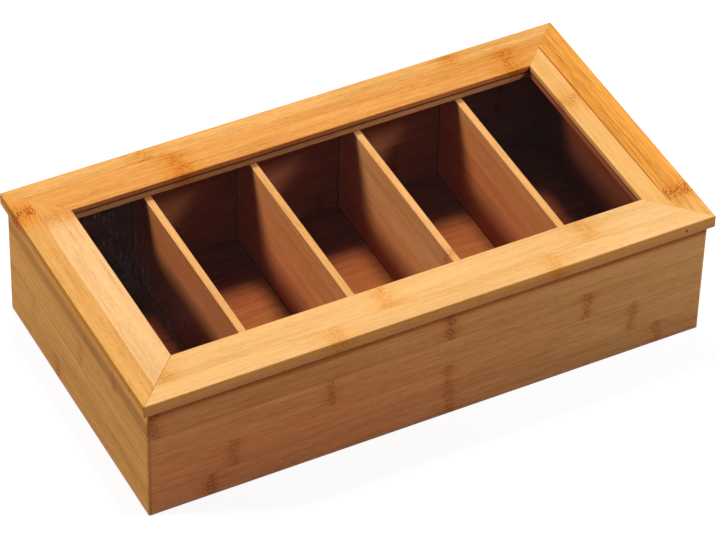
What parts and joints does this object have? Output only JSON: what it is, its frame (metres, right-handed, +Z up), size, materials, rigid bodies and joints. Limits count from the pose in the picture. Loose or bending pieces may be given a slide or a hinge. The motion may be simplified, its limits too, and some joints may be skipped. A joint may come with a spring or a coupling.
{
  "type": "tea bag organizer box",
  "caption": "Low rectangular bamboo box with front-to-back dividers, upright tea bag compartments and a hinged mitred lid frame round a clear window.",
  "frame": {"origin": "under the middle of the closed lid, on the surface that the box stands on", "axes": "+X to the right along the width, +Y to the back where the hinges are, +Z up"},
  "size_m": [0.36, 0.195, 0.0875],
  "materials": {
    "bamboo_case": "clear satin lacquer on carbonised strip bamboo",
    "bamboo_base": "clear satin lacquer on thin bamboo panel",
    "bamboo_divider": "clear satin lacquer on thin bamboo board",
    "bamboo_lid": "clear satin lacquer on strip bamboo",
    "clear_pane": "clear cast acrylic sheet",
    "hinge_brass": "brushed, lightly tarnished",
    "hinge_pin_steel": "plain wire",
    "mitre_pin_steel": "plain wire brad"
  },
  "bodies": {
    "case": {"front_wall": "bamboo_case", "back_wall": "bamboo_case", "left_wall": "bamboo_case", "right_wall": "bamboo_case", "base_panel": "bamboo_base", "divider_1": "bamboo_divider", "divider_2": "bamboo_divider", "divider_3": "bamboo_divider", "divider_4": "bamboo_divider", "left_hinge_body_leaf": "hinge_brass", "left_hinge_pin": "hinge_pin_steel", "right_hinge_body_leaf": "hinge_brass", "right_hinge_pin": "hinge_pin_steel", "hinge_body_screws": "hinge_brass"},
    "lid": {"lid_front_rail": "bamboo_lid", "lid_back_rail": "bamboo_lid", "lid_left_stile": "bamboo_lid", "lid_right_stile": "bamboo_lid", "lid_pane": "clear_pane", "left_hinge_lid_leaf": "hinge_brass", "right_hinge_lid_leaf": "hinge_brass", "hinge_lid_screws": "hinge_brass", "lid_mitre_pins": "mitre_pin_steel"}
  },
  "joints": [
    {"name": "lid_hinge", "type": "hinge", "parent": "case", "child": "lid", "pos_m": [0, 0.0959, 0.079], "axis": [-1, 0, 0], "range_deg": [0, 108]}
  ]
}
